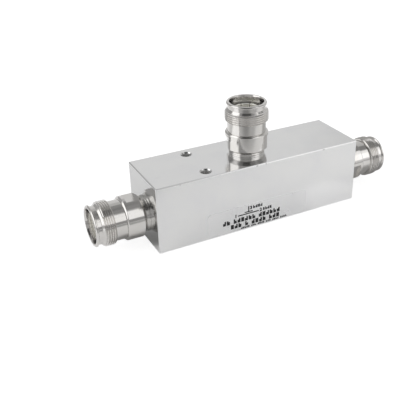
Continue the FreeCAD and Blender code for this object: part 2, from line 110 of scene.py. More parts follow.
def turned(name, outline, ring=False, segments=128):
    """Turn a piece that stands on +Z: a circle is drawn out and resized from station to station.

    The outline is a list of (height, radius). A ring's outline comes round to its first station.
    """
    bpy.ops.object.select_all(action="DESELECT")
    height, radius = outline[0]
    bpy.ops.mesh.primitive_circle_add(vertices=segments, radius=radius, enter_editmode=True)
    piece = bpy.context.object
    piece.name = name
    bpy.ops.transform.translate(value=(0, 0, height))
    for next_height, next_radius in outline[1:] + (outline[:1] if ring else []):
        step = (0, 0, next_height - height)
        growth = next_radius / radius
        bpy.ops.mesh.extrude_region_move(TRANSFORM_OT_translate={"value": step})
        bpy.ops.transform.resize(value=(growth, growth, 1), center_override=(0, 0, 0))
        height, radius = next_height, next_radius
    bpy.ops.mesh.select_all(action="SELECT")
    if ring:
        bpy.ops.mesh.remove_doubles(threshold=0.001 * mm)
    else:
        bpy.ops.mesh.fill_holes(sides=0)
    bpy.ops.mesh.select_all(action="SELECT")
    bpy.ops.mesh.normals_make_consistent(inside=False)
    bpy.ops.object.mode_set(mode="OBJECT")
    return piece


def block(name, low, high):
    """A block between two corners."""
    bpy.ops.object.select_all(action="DESELECT")
    low, high = Vector(low), Vector(high)
    bpy.ops.mesh.primitive_cube_add(size=1, location=(low + high) / 2, scale=high - low)
    piece = bpy.context.object
    piece.name = name
    return settle(piece)


def stand_on_port(piece, port):
    """Lay a piece that was made standing at the origin onto its port."""
    turn, seat = port_seats[port]
    piece.rotation_euler = (0, math.radians(turn), 0)
    piece.location = seat
    return settle(piece)


def cut_away(piece, cutter):
    """Take a cutter's shape out of a piece, and put the cutter away."""
    only(piece)
    cut = piece.modifiers.new("cut", "BOOLEAN")
    cut.object = cutter
    cut.operation = "DIFFERENCE"
    cut.solver = "EXACT"
    bpy.ops.object.modifier_apply(modifier=cut.name)
    bpy.data.objects.remove(cutter)


def round_edges(piece, width, angle=25, segments=2):
    """Round every edge sharper than an angle, as tumbling and plating leave it."""
    only(piece)
    bevel = piece.modifiers.new("round", "BEVEL")
    bevel.width = width
    bevel.segments = segments
    bevel.limit_method = "ANGLE"
    bevel.angle_limit = math.radians(angle)
    bpy.ops.object.modifier_apply(modifier=bevel.name)


def smooth_faces(piece, angle=32):
    """Shade a finished piece smooth, with flat faces kept flat."""
    only(piece)
    bpy.ops.object.shade_smooth_by_angle(angle=math.radians(angle))
    weighted = piece.modifiers.new("even", "WEIGHTED_NORMAL")
    weighted.keep_sharp = True
    bpy.ops.object.modifier_apply(modifier=weighted.name)


def finish_piece(piece, stands_for, finish):
    """Give a piece its finish, and let it stand for its CAD node on the one body."""
    piece.data.materials.clear()
    piece.data.materials.append(finish)
    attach(piece, "root")
    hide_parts(stands_for)


bar = block("bar", bar_low, bar_high)
bpy.ops.object.mode_set(mode="EDIT")
bpy.ops.mesh.select_all(action="SELECT")
bpy.ops.mesh.bevel(offset=edge_break * math.sqrt(2), offset_type="WIDTH", affect="EDGES")
bpy.ops.object.mode_set(mode="OBJECT")
round_edges(bar, fine_round)

half_length = bar_high.x
line_cutter = turned("line_cutter", [
    (-half_length - overshoot, seal_radius),
    (-half_length + seal_depth, seal_radius),
    (-half_length + seal_depth, seat_radius),
    (-half_length + seat_depth, seat_radius),
    (-half_length + seat_depth, line_bore_radius),
    (half_length - seat_depth, line_bore_radius),
    (half_length - seat_depth, seat_radius),
    (half_length - seal_depth, seat_radius),
    (half_length - seal_depth, seal_radius),
    (half_length + overshoot, seal_radius),
])
line_cutter.rotation_euler = (0, math.radians(90), 0)
line_cutter.location = (0, 0, line_height)
cut_away(bar, settle(line_cutter))

cut_away(bar, turned("tap_cutter", [
    (line_height, line_bore_radius),
    (bar_high.z - seat_depth, line_bore_radius),
    (bar_high.z - seat_depth, seat_radius),
    (bar_high.z - seal_depth, seat_radius),
    (bar_high.z - seal_depth, seal_radius),
    (bar_high.z + overshoot, seal_radius),
]))

flare_radius = hole_radius + hole_chamfer + overshoot
for place in hole_places:
    hole_cutter = turned("hole_cutter", [
        (bar_low.z - overshoot, flare_radius),
        (bar_low.z + hole_chamfer, hole_radius),
        (bar_high.z - hole_chamfer, hole_radius),
        (bar_high.z + overshoot, flare_radius),
    ], segments=96)
    hole_cutter.location = (*place, 0)
    cut_away(bar, settle(hole_cutter))

for along_edge, radius in edge_knocks:
    bpy.ops.object.select_all(action="DESELECT")
    bpy.ops.mesh.primitive_ico_sphere_add(subdivisions=3, radius=radius)
    knock = bpy.context.object
    knock.scale = knock_stretch
    knock.location = (along_edge, bar_low.y, bar_high.z - edge_break)
    cut_away(bar, settle(knock))
smooth_faces(bar)

# The walls of the screw holes are duller than the milled faces.
drilled_faces = [face.index for face in bar.data.polygons if any(
    (face.center.to_2d() - place).length < hole_radius + fine_round for place in hole_places)]


def new_material(name):
    """An empty material with its shader, ready for its nodes."""
    material = bpy.data.materials.new(name)
    material.use_nodes = True
    return material, material.node_tree, material.node_tree.nodes["Principled BSDF"]


def add_node(tree, kind, settings=None, **inputs):
    """A node with its settings made, and its sockets set to values or wired to other sockets.

    A socket goes by its name, with _ for a space, or by _ and its number.
    """
    node = tree.nodes.new(kind)
    for key, value in (settings or {}).items():
        setattr(node, key, value)
    for key, value in inputs.items():
        name = int(key[1:]) if key[1:].isdigit() else key.replace("_", " ")
        socket = node.inputs[name]
        if isinstance(value, bpy.types.NodeSocket):
            tree.links.new(value, socket)
        else:
            socket.default_value = value
    return node


def new_group(name, inputs, outputs):
    """A node group with named sockets: inputs as (name, kind, value), outputs as (name, kind)."""
    group = bpy.data.node_groups.new(name, "ShaderNodeTree")
    for socket_name, kind, value in inputs:
        socket = group.interface.new_socket(socket_name, in_out="INPUT", socket_type=kind)
        socket.default_value = value
    for socket_name, kind in outputs:
        group.interface.new_socket(socket_name, in_out="OUTPUT", socket_type=kind)
    return group, group.nodes.new("NodeGroupInput"), group.nodes.new("NodeGroupOutput")


def make_tool_marks():
    """Fine lines that a cutter leaves: noise drawn out along the lines by its Lines per metre."""
    group, given, result = new_group(
        "tool_marks",
        [("Lines per metre", "NodeSocketVector", (0, 0, 9000))],
        [("Height", "NodeSocketFloat"), ("Broad", "NodeSocketFloat")])
    place = add_node(group, "ShaderNodeTexCoord")
    fine = add_node(group, "ShaderNodeVectorMath", {"operation": "MULTIPLY"},
                    _0=place.outputs["Object"], _1=given.outputs["Lines per metre"])
    coarse = add_node(group, "ShaderNodeVectorMath", {"operation": "SCALE"},
                      _0=fine.outputs["Vector"], Scale=0.17)
    lines = add_node(group, "ShaderNodeTexNoise", Vector=fine.outputs["Vector"], Scale=1, Detail=3,
                     Roughness=0.6)
    broad = add_node(group, "ShaderNodeTexNoise", Vector=coarse.outputs["Vector"], Scale=1,
                     Detail=2, Roughness=0.5)
    group.links.new(lines.outputs["Fac"], result.inputs["Height"])
    group.links.new(broad.outputs["Fac"], result.inputs["Broad"])
    return group


def make_handling():
    """What hands and packing leave: cloudy smudges, and a few thin scratches."""
    group, given, result = new_group(
        "handling",
        [("Cloud size", "NodeSocketFloat", 0.012)],
        [("Smudge", "NodeSocketFloat"), ("Scratch", "NodeSocketFloat")])
    place = add_node(group, "ShaderNodeTexCoord")
    per_metre = add_node(group, "ShaderNodeMath", {"operation": "DIVIDE"}, _0=1.0,
                         _1=given.outputs["Cloud size"])
    cloud = add_node(group, "ShaderNodeTexNoise", Vector=place.outputs["Object"],
                     Scale=per_metre.outputs[0], Detail=3, Roughness=0.55, Distortion=0.4)
    smudge = add_node(group, "ShaderNodeMapRange", {"interpolation_type": "SMOOTHSTEP"},
                      Value=cloud.outputs["Fac"], From_Min=0.35, From_Max=0.7)
    turn = add_node(group, "ShaderNodeMapping", Vector=place.outputs["Object"],
                    Rotation=(0.5, 0.9, 0.4), Scale=(60, 2400, 1500))
    thin = add_node(group, "ShaderNodeTexNoise", Vector=turn.outputs["Vector"], Scale=1, Detail=1)
    scratch = add_node(group, "ShaderNodeMapRange", Value=thin.outputs["Fac"], From_Min=0.7,
                       From_Max=0.78)
    group.links.new(smudge.outputs["Result"], result.inputs["Smudge"])
    group.links.new(scratch.outputs["Result"], result.inputs["Scratch"])
    return group


tool_marks = make_tool_marks()
handling = make_handling()


def tint_finish(tree, shader, hands, clean, stained):
    """Colour a finish: its clean tint, and the tint it has under smudges."""
    tint = add_node(tree, "ShaderNodeMix", {"data_type": "RGBA"},
                    Factor=hands.outputs["Smudge"], _6=(*clean, 1), _7=(*stained, 1))
    tree.links.new(tint.outputs[2], shader.inputs["Base Color"])


def uneven_roughness(tree, marks, roughness):
    """A roughness that broad tool marks carry a little up and down."""
    uneven = add_node(tree, "ShaderNodeMapRange", Value=marks.outputs["Broad"], From_Min=0.3,
                      From_Max=0.7, To_Min=roughness * 0.85, To_Max=roughness * 1.15)
    return uneven.outputs["Result"]


def raise_marks(tree, shader, marks, depth, strength=0.5):
    """Let a finish's tool marks catch the light."""
    bump = add_node(tree, "ShaderNodeBump", Strength=strength, Distance=depth,
                    Height=marks.outputs["Height"])
    tree.links.new(bump.outputs["Normal"], shader.inputs["Normal"])


def metal_finish(name, clean, stained, roughness, lines, depth, cloud_size, metallic=1.0):
    """A metal with tool marks and handling: two tints, its roughness and its lines per metre."""
    smudge_dulls = 0.03
    scratch_dulls = 0.12
    material, tree, shader = new_material(name)
    shader.inputs["Metallic"].default_value = metallic
    marks = add_node(tree, "ShaderNodeGroup", {"node_tree": tool_marks}, Lines_per_metre=lines)
    hands = add_node(tree, "ShaderNodeGroup", {"node_tree": handling}, Cloud_size=cloud_size)
    tint_finish(tree, shader, hands, clean, stained)
    smudged = add_node(tree, "ShaderNodeMath", {"operation": "MULTIPLY_ADD"},
                       _0=hands.outputs["Smudge"], _1=smudge_dulls,
                       _2=uneven_roughness(tree, marks, roughness))
    scratched = add_node(tree, "ShaderNodeMath", {"operation": "MULTIPLY_ADD"},
                         _0=hands.outputs["Scratch"], _1=scratch_dulls, _2=smudged.outputs[0])
    tree.links.new(scratched.outputs[0], shader.inputs["Roughness"])
    raise_marks(tree, shader, marks, depth)
    return material


bright_aluminium = metal_finish(
    "bright_aluminium", clean=(0.76, 0.76, 0.755), stained=(0.735, 0.735, 0.74),
    roughness=0.1, lines=(160, 5200, 5200), depth=0.0006 * mm, cloud_size=0.016)
finish_piece(bar, "housing", bright_aluminium)
drilled_aluminium = metal_finish(
    "drilled_aluminium", clean=(0.74, 0.74, 0.73), stained=(0.68, 0.68, 0.67), metallic=0.55,
    roughness=0.38, lines=(400, 400, 5200), depth=0.004 * mm, cloud_size=0.006)
bar.data.materials.append(drilled_aluminium)
for face in drilled_faces:
    bar.data.polygons[face].material_index = 1


# Each port's shell is turned from brass and plated with white bronze: a lip, a groove, the M20 x 1
# coupling thread, a plain barrel, a flange disc and a wrench section with two flats. Its shank is
# screwed into the bar up to a narrow collar.
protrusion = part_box("tap_connector_shell")[1].z - bar_high.z
shank_end = -7 * mm
shank_radius = 7.475 * mm
shank_bore_radius = 5 * mm
seal_groove_back = -1.6 * mm
seal_groove_front = -0.4 * mm
seal_groove_radius = 6.6 * mm
collar_front = 0.9 * mm
collar_radius = 8.3 * mm
neck_radius = 8 * mm
wrench_back = protrusion - 21.4 * mm
wrench_radius = 9.95 * mm
flats_apart = 17.7 * mm
flats_bottom = protrusion - 22.8 * mm
flats_top = protrusion - 15.7 * mm
flange_front = protrusion - 13.8 * mm
flange_chamfer = 0.6 * mm
barrel_radius = 8.85 * mm
thread_pitch = 1 * mm
thread_radius = 10 * mm
thread_chamfer = 0.4 * mm
thread_back = protrusion - 8.7 * mm
groove_radius = 8.55 * mm
groove_back = protrusion - 2.85 * mm
groove_front = protrusion - 1.2 * mm
thread_front = groove_back - (thread_radius - groove_radius)
lip_back = protrusion - 0.9 * mm
lip_radius = 9.25 * mm
lip_chamfer = 0.4 * mm
mouth_radius = 7.5 * mm
mouth_flare = 0.45 * mm
mouth_flare_back = protrusion - 1.5 * mm
mouth_floor = protrusion - 9.5 * mm
basket_seat_radius = 6 * mm
basket_seat_floor = protrusion - 16 * mm

# How far each shell was turned, in degrees, when it came up tight: its flats show it.
flat_turns = {"input": 5, "output": -68, "tap": -22}

shell_outline = [
    (shank_end, shank_bore_radius),
    (shank_end, shank_radius),
    (seal_groove_back, shank_radius),
    (seal_groove_back, seal_groove_radius),
    (seal_groove_front, seal_groove_radius),
    (seal_groove_front, shank_radius),
    (0, shank_radius),
    (0, collar_radius),
    (collar_front, collar_radius),
    (collar_front, neck_radius),
    (flats_bottom, neck_radius),
    (flats_bottom, collar_radius),
    (wrench_back, wrench_radius),
    (flange_front - flange_chamfer, wrench_radius),
    (flange_front, wrench_radius - flange_chamfer),
    (flange_front, barrel_radius),
    (thread_back, barrel_radius),
    (thread_back, thread_radius - thread_chamfer),
    (thread_back + thread_chamfer, thread_radius),
    (thread_front, thread_radius),
    (groove_back, groove_radius),
    (groove_front, groove_radius),
    (lip_back, lip_radius),
    (protrusion - lip_chamfer, lip_radius),
    (protrusion, lip_radius - lip_chamfer),
    (protrusion, mouth_radius + mouth_flare),
    (mouth_flare_back, mouth_radius),
    (mouth_floor, mouth_radius),
    (mouth_floor, basket_seat_radius),
    (basket_seat_floor, basket_seat_radius),
    (basket_seat_floor, shank_bore_radius),
]

# A new plane lies flat, and this turn stands it up to face the front.
upright = (math.radians(90), 0, 0)


def make_thread_cutter():
    """The vee of the thread, wound up along the shell from behind the thread to before it."""
    thread_depth = 0.6134 * thread_pitch
    flank_angle = math.radians(30)
    root_radius = thread_radius - thread_depth
    outer_radius = thread_radius + 0.05 * mm
    middle_radius = (outer_radius + root_radius) / 2
    root_width = thread_pitch / 4
    outer_width = root_width + 2 * (outer_radius - root_radius) * math.tan(flank_angle)
    start = thread_back - thread_pitch
    turns = math.ceil((thread_front - thread_back) / thread_pitch) + 2

    bpy.ops.object.select_all(action="DESELECT")
    bpy.ops.mesh.primitive_plane_add(size=1, rotation=upright, enter_editmode=True)
    cutter = bpy.context.object
    cutter.name = "thread_cutter"
    bpy.ops.transform.resize(value=(outer_radius - root_radius, 1, root_width))
    bpy.ops.transform.translate(value=(middle_radius, 0, start))
    bpy.ops.mesh.select_all(action="DESELECT")
    bpy.ops.object.mode_set(mode="OBJECT")
    settle(cutter)
    for vertex in cutter.data.vertices:
        vertex.select = vertex.co.x > middle_radius
    bpy.ops.object.mode_set(mode="EDIT")
    bpy.ops.transform.resize(value=(1, 1, outer_width / root_width), center_override=(0, 0, start))
    bpy.ops.mesh.select_all(action="SELECT")
    bpy.ops.mesh.delete(type="ONLY_FACE")
    bpy.ops.object.mode_set(mode="OBJECT")
    wind = cutter.modifiers.new("wind", "SCREW")
    wind.angle = 2 * math.pi * turns
    wind.screw_offset = thread_pitch * turns
    wind.steps = wind.render_steps = 128 * turns
    bpy.ops.object.modifier_apply(modifier=wind.name)
    bpy.ops.object.mode_set(mode="EDIT")
    bpy.ops.mesh.select_all(action="SELECT")
    bpy.ops.mesh.fill_holes(sides=0)
    bpy.ops.mesh.select_all(action="SELECT")
    bpy.ops.mesh.normals_make_consistent(inside=False)
    bpy.ops.object.mode_set(mode="OBJECT")
    return cutter


def rings_along(port, per_metre):
    """Lines per metre along a port's axis: turning leaves its marks running round it."""
    return (0, 0, per_metre) if port == "tap" else (per_metre, 0, 0)


for port, flat_turn in flat_turns.items():
    shell = turned(port + "_port_shell", shell_outline, ring=True)
    for half_turn in (0, 180):
        flat_cutter = block("flat_cutter", (flats_apart / 2, -2 * wrench_radius, flats_bottom),
                            (2 * wrench_radius, 2 * wrench_radius, flats_top))
        flat_cutter.rotation_euler = (0, 0, math.radians(half_turn))
        cut_away(shell, settle(flat_cutter))
    round_edges(shell, fine_round)
    cut_away(shell, make_thread_cutter())
    shell.rotation_euler = (0, 0, math.radians(flat_turn))
    settle(shell)
    bored_faces = [face.index for face in shell.data.polygons if face.center.z > mouth_floor
                   and face.center.to_2d().length < mouth_radius + fine_round]
    stand_on_port(shell, port)
    smooth_faces(shell)
    white_bronze = metal_finish(
        port + "_white_bronze", clean=(0.66, 0.645, 0.63), stained=(0.64, 0.625, 0.6),
        roughness=0.065, lines=rings_along(port, 7000), depth=0.026 * mm, cloud_size=0.006)
    finish_piece(shell, port + "_connector_shell", white_bronze)
    # The bore of the mouth gets a finer turned copy of the shell's bronze, lighter than the plated
    # outside: painted light in the hollow of the mouth.
    bored_lit_bronze = metal_finish(
        port + "_bored_lit_bronze", clean=(0.82, 0.81, 0.805), stained=(0.78, 0.77, 0.765),
        metallic=0.95, roughness=0.13, lines=rings_along(port, 5000), depth=0.003 * mm,
        cloud_size=0.006)
    shell.data.materials.append(bored_lit_bronze)
    for face in bored_faces:
        shell.data.polygons[face].material_index = 1


# Inside each mouth stands the outer contact: a spring basket of silver plated bronze. It is
# turned, sawn into eight fingers with thick rounded tips, and its root is pressed into the shell.
basket_front = protrusion - 3.2 * mm
tip_edge = protrusion - 3.5 * mm
tip_back = protrusion - 4.3 * mm
tip_foot = protrusion - 4.6 * mm
tip_radius = 6 * mm
tip_bore_radius = 5.3 * mm
finger_radius = 5.7 * mm
finger_bore_radius = 5 * mm
disc_front = protrusion - 12 * mm
disc_radius = 5.4 * mm
finger_count = 8
finger_slot_width = 0.5 * mm
finger_slot_floor = protrusion - 8.8 * mm

basket_outline = [
    (basket_seat_floor, disc_radius),
    (basket_seat_floor, basket_seat_radius),
    (mouth_floor, basket_seat_radius),
    (mouth_floor, finger_radius),
    (tip_foot, finger_radius),
    (tip_back, tip_radius),
    (tip_edge, tip_radius),
    (basket_front, finger_radius),
    (basket_front, tip_bore_radius),
    (tip_edge, finger_bore_radius),
    (disc_front, finger_bore_radius),
    (disc_front, disc_radius),
]


def saw_slots(piece, width, floor, count):
    """Saw slots down from a piece's front: each cut runs right across and makes two of them."""
    saw_reach = 10 * mm
    for index in range(count // 2):
        saw = block("saw", (-width / 2, -saw_reach, floor), (width / 2, saw_reach, protrusion))
        saw.rotation_euler = (0, 0, math.pi * 2 * index / count)
        cut_away(piece, settle(saw))


for port in port_seats:
    basket = turned(port + "_spring_basket", basket_outline, ring=True, segments=96)
    saw_slots(basket, finger_slot_width, finger_slot_floor, finger_count)
    round_edges(basket, fine_round)
    stand_on_port(basket, port)
    smooth_faces(basket)
    pale_silver = metal_finish(
        port + "_pale_silver", clean=(0.94, 0.93, 0.87), stained=(0.9, 0.885, 0.81), metallic=0.4,
        roughness=0.32, lines=rings_along(port, 9000), depth=0.0012 * mm, cloud_size=0.003)
    finish_piece(basket, port + "_contact_basket", pale_silver)


# The centre socket takes the plug's pin. It is turned from bronze, bored, sawn into four leaves
# and silver plated, and its screwed tail goes through the insulator into the line.
tail_end = protrusion - 20 * mm
tail_radius = 1.22 * mm
stud_radius = 1.65 * mm
socket_front = protrusion - 5.2 * mm
socket_edge = socket_front - 0.3 * mm
socket_radius = 2.15 * mm
pin_hole_radius = 0.85 * mm
pin_hole_floor = socket_front - 5 * mm
drill_point = socket_front - 5.42 * mm
leaf_count = 4
leaf_slot_width = 0.3 * mm
leaf_slot_floor = socket_front - 4.2 * mm

socket_outline = [
    (tail_end, tail_radius),
    (basket_seat_floor, tail_radius),
    (basket_seat_floor, stud_radius),
    (disc_front, stud_radius),
    (disc_front, socket_radius),
    (socket_edge, socket_radius),
    (socket_front, 1.85 * mm),
    (socket_front, 1.15 * mm),
    (socket_edge, pin_hole_radius),
    (pin_hole_floor, pin_hole_radius),
    (drill_point, 0.02 * mm),
]

for port in port_seats:
    socket = turned(port + "_pin_socket", socket_outline, segments=64)
    saw_slots(socket, leaf_slot_width, leaf_slot_floor, leaf_count)
    round_edges(socket, 0.04 * mm, angle=28)
    stand_on_port(socket, port)
    smooth_faces(socket)
    socket_silver = metal_finish(
        port + "_socket_silver", clean=(0.9, 0.88, 0.82), stained=(0.83, 0.79, 0.68),
        roughness=0.17, lines=rings_along(port, 9000), depth=0.001 * mm, cloud_size=0.002)
    finish_piece(socket, port + "_centre_socket", socket_silver)


# A white fluoropolymer disc holds each socket. It is turned, with a ring recess in its front that
# trims the line, and its cut faces have a fine even grain.
recess_floor = disc_front - 0.6 * mm
recess_radius = 4.6 * mm
recess_core_radius = 2.4 * mm

disc_outline = [
    (basket_seat_floor, stud_radius),
    (basket_seat_floor, disc_radius),
    (disc_front, disc_radius),
    (disc_front, recess_radius),
    (recess_floor, recess_radius),
    (recess_floor, recess_core_radius),
    (disc_front, recess_core_radius),
    (disc_front, stud_radius),
]


def plastic_finish(name, colour, roughness, grain, depth, soft=0.0):
    """A dull plastic or rubber with an even grain: its colour and its grains per metre."""
    material, tree, shader = new_material(name)
    shader.inputs["Subsurface Weight"].default_value = soft
    shader.inputs["Subsurface Scale"].default_value = 0.8 * mm
    marks = add_node(tree, "ShaderNodeGroup", {"node_tree": tool_marks},
                     Lines_per_metre=(grain, grain, grain))
    hands = add_node(tree, "ShaderNodeGroup", {"node_tree": handling}, Cloud_size=0.004)
    tint_finish(tree, shader, hands, colour, [part * 0.93 for part in colour])
    tree.links.new(uneven_roughness(tree, marks, roughness), shader.inputs["Roughness"])
    raise_marks(tree, shader, marks, depth)
    return material


for port in port_seats:
    disc = turned(port + "_socket_disc", disc_outline, ring=True, segments=96)
    round_edges(disc, 0.08 * mm)
    stand_on_port(disc, port)
    smooth_faces(disc)
    white_disc = plastic_finish(port + "_white_disc", (0.86, 0.86, 0.84), roughness=0.42,
                                grain=2500, depth=0.004 * mm, soft=0.15)
    finish_piece(disc, port + "_insulator", white_disc)


# Sealed in the bar are the stepped rods of the two lines, the beads that centre the main one, and
# a square ring of rubber under each collar. They keep their plain forms and get their finishes.
rod_silver = metal_finish("rod_silver", clean=(0.9, 0.89, 0.86), stained=(0.82, 0.8, 0.74),
                          roughness=0.16, lines=(6000, 0, 0), depth=0.001 * mm, cloud_size=0.005)
bead_white = plastic_finish("bead_white", (0.86, 0.86, 0.84), roughness=0.42, grain=2500,
                            depth=0.004 * mm, soft=0.15)
seal_black = plastic_finish("seal_black", (0.025, 0.025, 0.027), roughness=0.55, grain=1500,
                            depth=0.006 * mm)
hidden_finishes = {
    "main_line_conductor": rod_silver,
    "tap_line_conductor": rod_silver,
    "input_line_bead": bead_white,
    "output_line_bead": bead_white,
    "input_neck_seal": seal_black,
    "output_neck_seal": seal_black,
    "tap_neck_seal": seal_black,
}
for name, finish in hidden_finishes.items():
    node = frame["nodes"][name]
    node.data.materials.clear()
    node.data.materials.append(finish)


# The label is a thin satin silver film with round corners, stuck low on the bar's front. It is
# screen printed in black with a plain sketch of the line, its three ports numbered, and rows of
# short strokes.
film_low, film_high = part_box("rating_label")
film_corner = 2.2 * mm
film_edge_round = 0.012 * mm
ink_thickness = 0.015 * mm
film_front = film_low.y + ink_thickness
film_middle = (film_low + film_high) / 2

bpy.ops.object.select_all(action="DESELECT")
bpy.ops.mesh.primitive_plane_add(size=1, rotation=upright, enter_editmode=True)
film = bpy.context.object
film.name = "label_film"
bpy.ops.transform.resize(value=(film_high.x - film_low.x, 1, film_high.z - film_low.z))
bpy.ops.transform.translate(value=(film_middle.x, film_high.y, film_middle.z))
bpy.ops.mesh.bevel(offset=film_corner, segments=8, affect="VERTICES")
bpy.ops.mesh.extrude_region_move(
    TRANSFORM_OT_translate={"value": (0, film_front - film_high.y, 0)})
bpy.ops.mesh.select_all(action="SELECT")
bpy.ops.mesh.normals_make_consistent(inside=False)
bpy.ops.object.mode_set(mode="OBJECT")
settle(film)
round_edges(film, film_edge_round, angle=50, segments=1)
smooth_faces(film)


def smudge_roughness(tree, shader, hands, clean, smudged):
    """Let smudges dull or polish a finish."""
    rough = add_node(tree, "ShaderNodeMapRange", Value=hands.outputs["Smudge"], To_Min=clean,
                     To_Max=smudged)
    tree.links.new(rough.outputs["Result"], shader.inputs["Roughness"])


satin_film, tree, shader = new_material("satin_film")
shader.inputs["Metallic"].default_value = 0.85
marks = add_node(tree, "ShaderNodeGroup", {"node_tree": tool_marks},
                 Lines_per_metre=(9000, 9000, 9000))
hands = add_node(tree, "ShaderNodeGroup", {"node_tree": handling}, Cloud_size=0.01)
tint_finish(tree, shader, hands, (0.765, 0.765, 0.765), (0.74, 0.74, 0.745))
smudge_roughness(tree, shader, hands, 0.22, 0.28)
raise_marks(tree, shader, marks, 0.002 * mm, strength=0.4)
finish_piece(film, "rating_label", satin_film)

# The sketch of the line, as bars: left, bottom, right and top, from the bar's middle and its foot.
print_bars = [
    (-13.4 * mm, 8 * mm, -2.4 * mm, 8.55 * mm),
    (-9.9 * mm, 8.9 * mm, -5.7 * mm, 9.4 * mm),
    (-8.1 * mm, 8.9 * mm, -7.5 * mm, 12 * mm),
]
# The rows of marks: left end, bottom, height, pitch, and how many marks each group has.
print_rows = [
    (-5.5 * mm, 10.25 * mm, 1.55 * mm, 1.3 * mm, (4,)),
    (-0.2 * mm, 7.85 * mm, 1.55 * mm, 1.2 * mm, (4,)),
    (-21.1 * mm, 4.85 * mm, 2.25 * mm, 1.95 * mm, (2, 6, 6)),
    (-17.1 * mm, 2.25 * mm, 2.2 * mm, 1.95 * mm, (3, 1, 4, 3)),
    (-11.8 * mm, 1 * mm, 1 * mm, 0.92 * mm, (5, 3, 4, 3, 4, 4)),
]
# A mark is two upright strokes and a short one across: how high each upright goes and where the
# cross stroke lies, in shares of the row's height. Its widths are shares of the row's pitch.
mark_shapes = [
    (1, 0.6, 0.5),
    (0.7, 1, 0),
    (1, 1, 0.8),
    (0.6, 1, 0.45),
    (1, 0.75, 0.2),
]
mark_width = 0.8
upright_width = 0.4
cross_height = 0.26
group_gap = 0.8
marks_made = 0
for left, bottom, height, pitch, groups in print_rows:
    thick = pitch * upright_width
    for count in groups:
        for index in range(count):
            first, second, across = mark_shapes[marks_made % len(mark_shapes)]
            right = left + pitch * mark_width
            print_bars.append((left, bottom, left + thick, bottom + height * first))
            print_bars.append((right - thick, bottom, right, bottom + height * second))
            print_bars.append((left + thick, bottom + height * across, right - thick,
                               bottom + height * (across + cross_height)))
            left += pitch
            marks_made += 1
        left += pitch * group_gap

ink_parts = []
for left, bottom, right, top in print_bars:
    bpy.ops.object.select_all(action="DESELECT")
    bpy.ops.mesh.primitive_plane_add(size=1, rotation=upright)
    ink_parts.append(bpy.context.object)
    ink_parts[-1].scale = (right - left, top - bottom, 1)
    ink_parts[-1].location = ((left + right) / 2, film_front, (bottom + top) / 2)

# The ports' numbers: figure, left end and bottom.
port_numbers = [
    ("1", -15 * mm, 7.7 * mm),
    ("2", -1.9 * mm, 7.8 * mm),
    ("3", -7.1 * mm, 10.2 * mm),
]
figure_size = 2.2 * mm
figure_weight = 0.14 * mm
for number, left, bottom in port_numbers:
    bpy.ops.object.select_all(action="DESELECT")
    bpy.ops.object.text_add(location=(left, film_front, bottom), rotation=upright)
    figure = bpy.context.object
    figure.data.body = number
    figure.data.size = figure_size
    figure.data.offset = figure_weight
    bpy.ops.object.convert(target="MESH")
    ink_parts.append(bpy.context.object)

bpy.ops.object.select_all(action="DESELECT")
for part in ink_parts:
    part.select_set(True)
bpy.context.view_layer.objects.active = ink_parts[0]
bpy.ops.object.join()
ink = settle(bpy.context.object)
ink.name = "label_print"
thicken = ink.modifiers.new("thicken", "SOLIDIFY")
thicken.thickness = ink_thickness
thicken.offset = 1
bpy.ops.object.modifier_apply(modifier=thicken.name)

black_ink, tree, shader = new_material("black_ink")
shader.inputs["Specular IOR Level"].default_value = 0.25
hands = add_node(tree, "ShaderNodeGroup", {"node_tree": handling}, Cloud_size=0.0015)
tint_finish(tree, shader, hands, (0.015, 0.015, 0.017), (0.032, 0.032, 0.035))
smudge_roughness(tree, shader, hands, 0.4, 0.55)
ink.data.materials.clear()
ink.data.materials.append(black_ink)
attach(ink, "root")


# The tapper lies on a table that looks white to the camera and keeps a soft shadow. What
# polished metal sees of it is painted light and shade that the table glows with: darker away
# from the tapper, most of all past a soft line towards the open front of the tent, with painted
# shadows under the two side ports and a few painted lighter patches.
table_size = 6
table_gap = 0.02 * mm
bpy.ops.object.select_all(action="DESELECT")
bpy.ops.mesh.primitive_grid_add(x_subdivisions=4, y_subdivisions=4, size=table_size,
                                location=(0, 0, -table_gap))
table = settle(bpy.context.object)
table.name = "table"
table.data.materials.clear()


def bearing(azimuth):
    """The flat direction at an azimuth: 0 is the bar's front, 90 its output end."""
    turn = math.radians(azimuth)
    return Vector((math.sin(turn), -math.cos(turn), 0))


def soft_step(tree, value, start, end):
    """0 on start's side and 1 on end's side, with a soft change between them."""
    step = add_node(tree, "ShaderNodeMapRange", {"interpolation_type": "SMOOTHSTEP"}, Value=value,
                    From_Min=start, From_Max=end)
    return step.outputs["Result"]


def blend(tree, mask, first, second):
    """The first level where a mask is 0, and the second where it is 1."""
    return add_node(tree, "ShaderNodeMix", Factor=mask, A=first, B=second).outputs[0]


def combine(tree, operation, first, second):
    """Two levels worked into one: MULTIPLY, DIVIDE or SUBTRACT."""
    return add_node(tree, "ShaderNodeMath", {"operation": operation}, _0=first,
                    _1=second).outputs[0]


# Painted light and shade on the table, as polished metal sees it: lighter glowing patches, darker
# patches, and at -90 and 92 painted shadows under the input and output ports. Each is azimuth,
# distance and half width in metres, and brightness. A patch is even within its core, and fades
# from there.
patch_core = 0.45
painted_table_patches = [
    (-32, 0.175, 0.09, 0.26),
    (-93, 0.15, 0.055, 1.3),
    (98, 0.125, 0.06, 0.6),
    (-90, 0.06, 0.0145, 0.42),
    (92, 0.078, 0.036, 0.47),
    (-127, 0.098, 0.06, 0.79),
    (66, 0.05, 0.024, 1.06),
]
